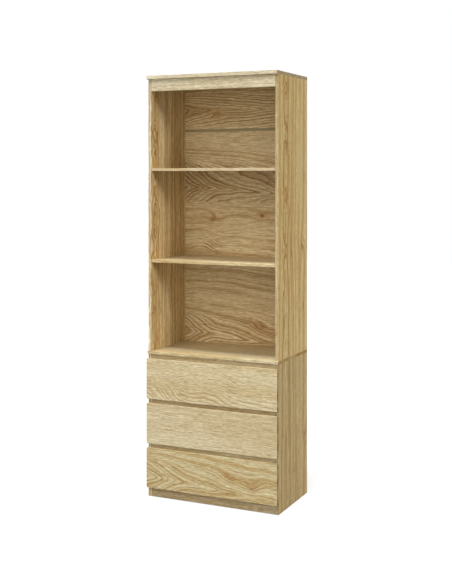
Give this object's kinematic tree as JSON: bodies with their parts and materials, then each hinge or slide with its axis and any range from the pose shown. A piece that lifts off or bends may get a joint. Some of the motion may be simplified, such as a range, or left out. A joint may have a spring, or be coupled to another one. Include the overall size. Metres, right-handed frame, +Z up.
{
  "type": "bookcase with drawers",
  "caption": "Tall oak bookcase with open shelf compartments above handleless drawers that slide on roller runners.",
  "frame": {"origin": "on the floor, under the middle of the cabinet", "axes": "+Z up, the drawer fronts face -Y, +X to the right seen from the front"},
  "size_m": [0.6, 0.35, 1.8],
  "materials": {
    "oak_veneer": "satin oak veneer",
    "oak_back": "matte oak-faced sheet",
    "drawer_box": "matte pale board",
    "joint_strip": "matte",
    "runner_steel": "white powder coat",
    "roller_nylon": "matte",
    "fitting_zinc": "bright zinc plate"
  },
  "bodies": {
    "cabinet": {"top_panel": "oak_veneer", "upper_side_left": "oak_veneer", "upper_side_right": "oak_veneer", "top_rail": "oak_veneer", "shelf_1": "oak_veneer", "shelf_2": "oak_veneer", "middle_panel": "oak_veneer", "back_panel_top": "oak_back", "back_panel_main": "oak_back", "back_joint_strip": "joint_strip", "lower_side_left": "oak_veneer", "lower_side_right": "oak_veneer", "gap_rail_1": "oak_veneer", "gap_rail_2": "oak_veneer", "gap_rail_3": "oak_veneer", "bottom_panel": "oak_veneer", "plinth_front": "oak_veneer", "plinth_rear": "oak_veneer", "back_panel_lower": "oak_back", "cabinet_runner_1_left": "runner_steel", "cabinet_runner_1_right": "runner_steel", "cabinet_runner_2_left": "runner_steel", "cabinet_runner_2_right": "runner_steel", "cabinet_runner_3_left": "runner_steel", "cabinet_runner_3_right": "runner_steel"},
    "drawer_1": {"drawer_1_front": "oak_veneer", "drawer_1_side_left": "drawer_box", "drawer_1_side_right": "drawer_box", "drawer_1_back": "drawer_box", "drawer_1_base": "drawer_box", "drawer_1_runner_left": "runner_steel", "drawer_1_runner_right": "runner_steel"},
    "cabinet_rollers_1": {"cabinet_roller_1_left": "roller_nylon", "cabinet_roller_1_right": "roller_nylon"},
    "drawer_1_rollers": {"drawer_1_roller_left": "roller_nylon", "drawer_1_roller_right": "roller_nylon"},
    "drawer_2": {"drawer_2_front": "oak_veneer", "drawer_2_side_left": "drawer_box", "drawer_2_side_right": "drawer_box", "drawer_2_back": "drawer_box", "drawer_2_base": "drawer_box", "drawer_2_runner_left": "runner_steel", "drawer_2_runner_right": "runner_steel"},
    "cabinet_rollers_2": {"cabinet_roller_2_left": "roller_nylon", "cabinet_roller_2_right": "roller_nylon"},
    "drawer_2_rollers": {"drawer_2_roller_left": "roller_nylon", "drawer_2_roller_right": "roller_nylon"},
    "drawer_3": {"drawer_3_front": "oak_veneer", "drawer_3_side_left": "drawer_box", "drawer_3_side_right": "drawer_box", "drawer_3_back": "drawer_box", "drawer_3_base": "drawer_box", "drawer_3_runner_left": "runner_steel", "drawer_3_runner_right": "runner_steel"},
    "cabinet_rollers_3": {"cabinet_roller_3_left": "roller_nylon", "cabinet_roller_3_right": "roller_nylon"},
    "drawer_3_rollers": {"drawer_3_roller_left": "roller_nylon", "drawer_3_roller_right": "roller_nylon"}
  },
  "joints": [
    {"name": "drawer_1_slide", "type": "slide", "parent": "cabinet", "child": "drawer_1", "axis": [0, -1, 0], "range_m": [0, 0.225]},
    {"name": "cabinet_rollers_1_spin", "type": "hinge", "parent": "cabinet", "child": "cabinet_rollers_1", "pos_m": [0, -0.1435, 0.4429], "axis": [1, 0, 0], "range_deg": [-10, 1130]},
    {"name": "drawer_1_rollers_spin", "type": "hinge", "parent": "drawer_1", "child": "drawer_1_rollers", "pos_m": [0, 0.1275, 0.4429], "axis": [1, 0, 0], "range_deg": [-10, 1130]},
    {"name": "drawer_2_slide", "type": "slide", "parent": "cabinet", "child": "drawer_2", "axis": [0, -1, 0], "range_m": [0, 0.225]},
    {"name": "cabinet_rollers_2_spin", "type": "hinge", "parent": "cabinet", "child": "cabinet_rollers_2", "pos_m": [0, -0.1435, 0.2529], "axis": [1, 0, 0], "range_deg": [-10, 1130]},
    {"name": "drawer_2_rollers_spin", "type": "hinge", "parent": "drawer_2", "child": "drawer_2_rollers", "pos_m": [0, 0.1275, 0.2529], "axis": [1, 0, 0], "range_deg": [-10, 1130]},
    {"name": "drawer_3_slide", "type": "slide", "parent": "cabinet", "child": "drawer_3", "axis": [0, -1, 0], "range_m": [0, 0.225]},
    {"name": "cabinet_rollers_3_spin", "type": "hinge", "parent": "cabinet", "child": "cabinet_rollers_3", "pos_m": [0, -0.1435, 0.0629], "axis": [1, 0, 0], "range_deg": [-10, 1130]},
    {"name": "drawer_3_rollers_spin", "type": "hinge", "parent": "drawer_3", "child": "drawer_3_rollers", "pos_m": [0, 0.1275, 0.0629], "axis": [1, 0, 0], "range_deg": [-10, 1130]}
  ],
  "couplings": [
    {"joint": "cabinet_rollers_1_spin", "follows": "drawer_1_slide", "rad_per_m": 86.957},
    {"joint": "drawer_1_rollers_spin", "follows": "drawer_1_slide", "rad_per_m": 86.957},
    {"joint": "cabinet_rollers_2_spin", "follows": "drawer_2_slide", "rad_per_m": 86.957},
    {"joint": "drawer_2_rollers_spin", "follows": "drawer_2_slide", "rad_per_m": 86.957},
    {"joint": "cabinet_rollers_3_spin", "follows": "drawer_3_slide", "rad_per_m": 86.957},
    {"joint": "drawer_3_rollers_spin", "follows": "drawer_3_slide", "rad_per_m": 86.957}
  ]
}
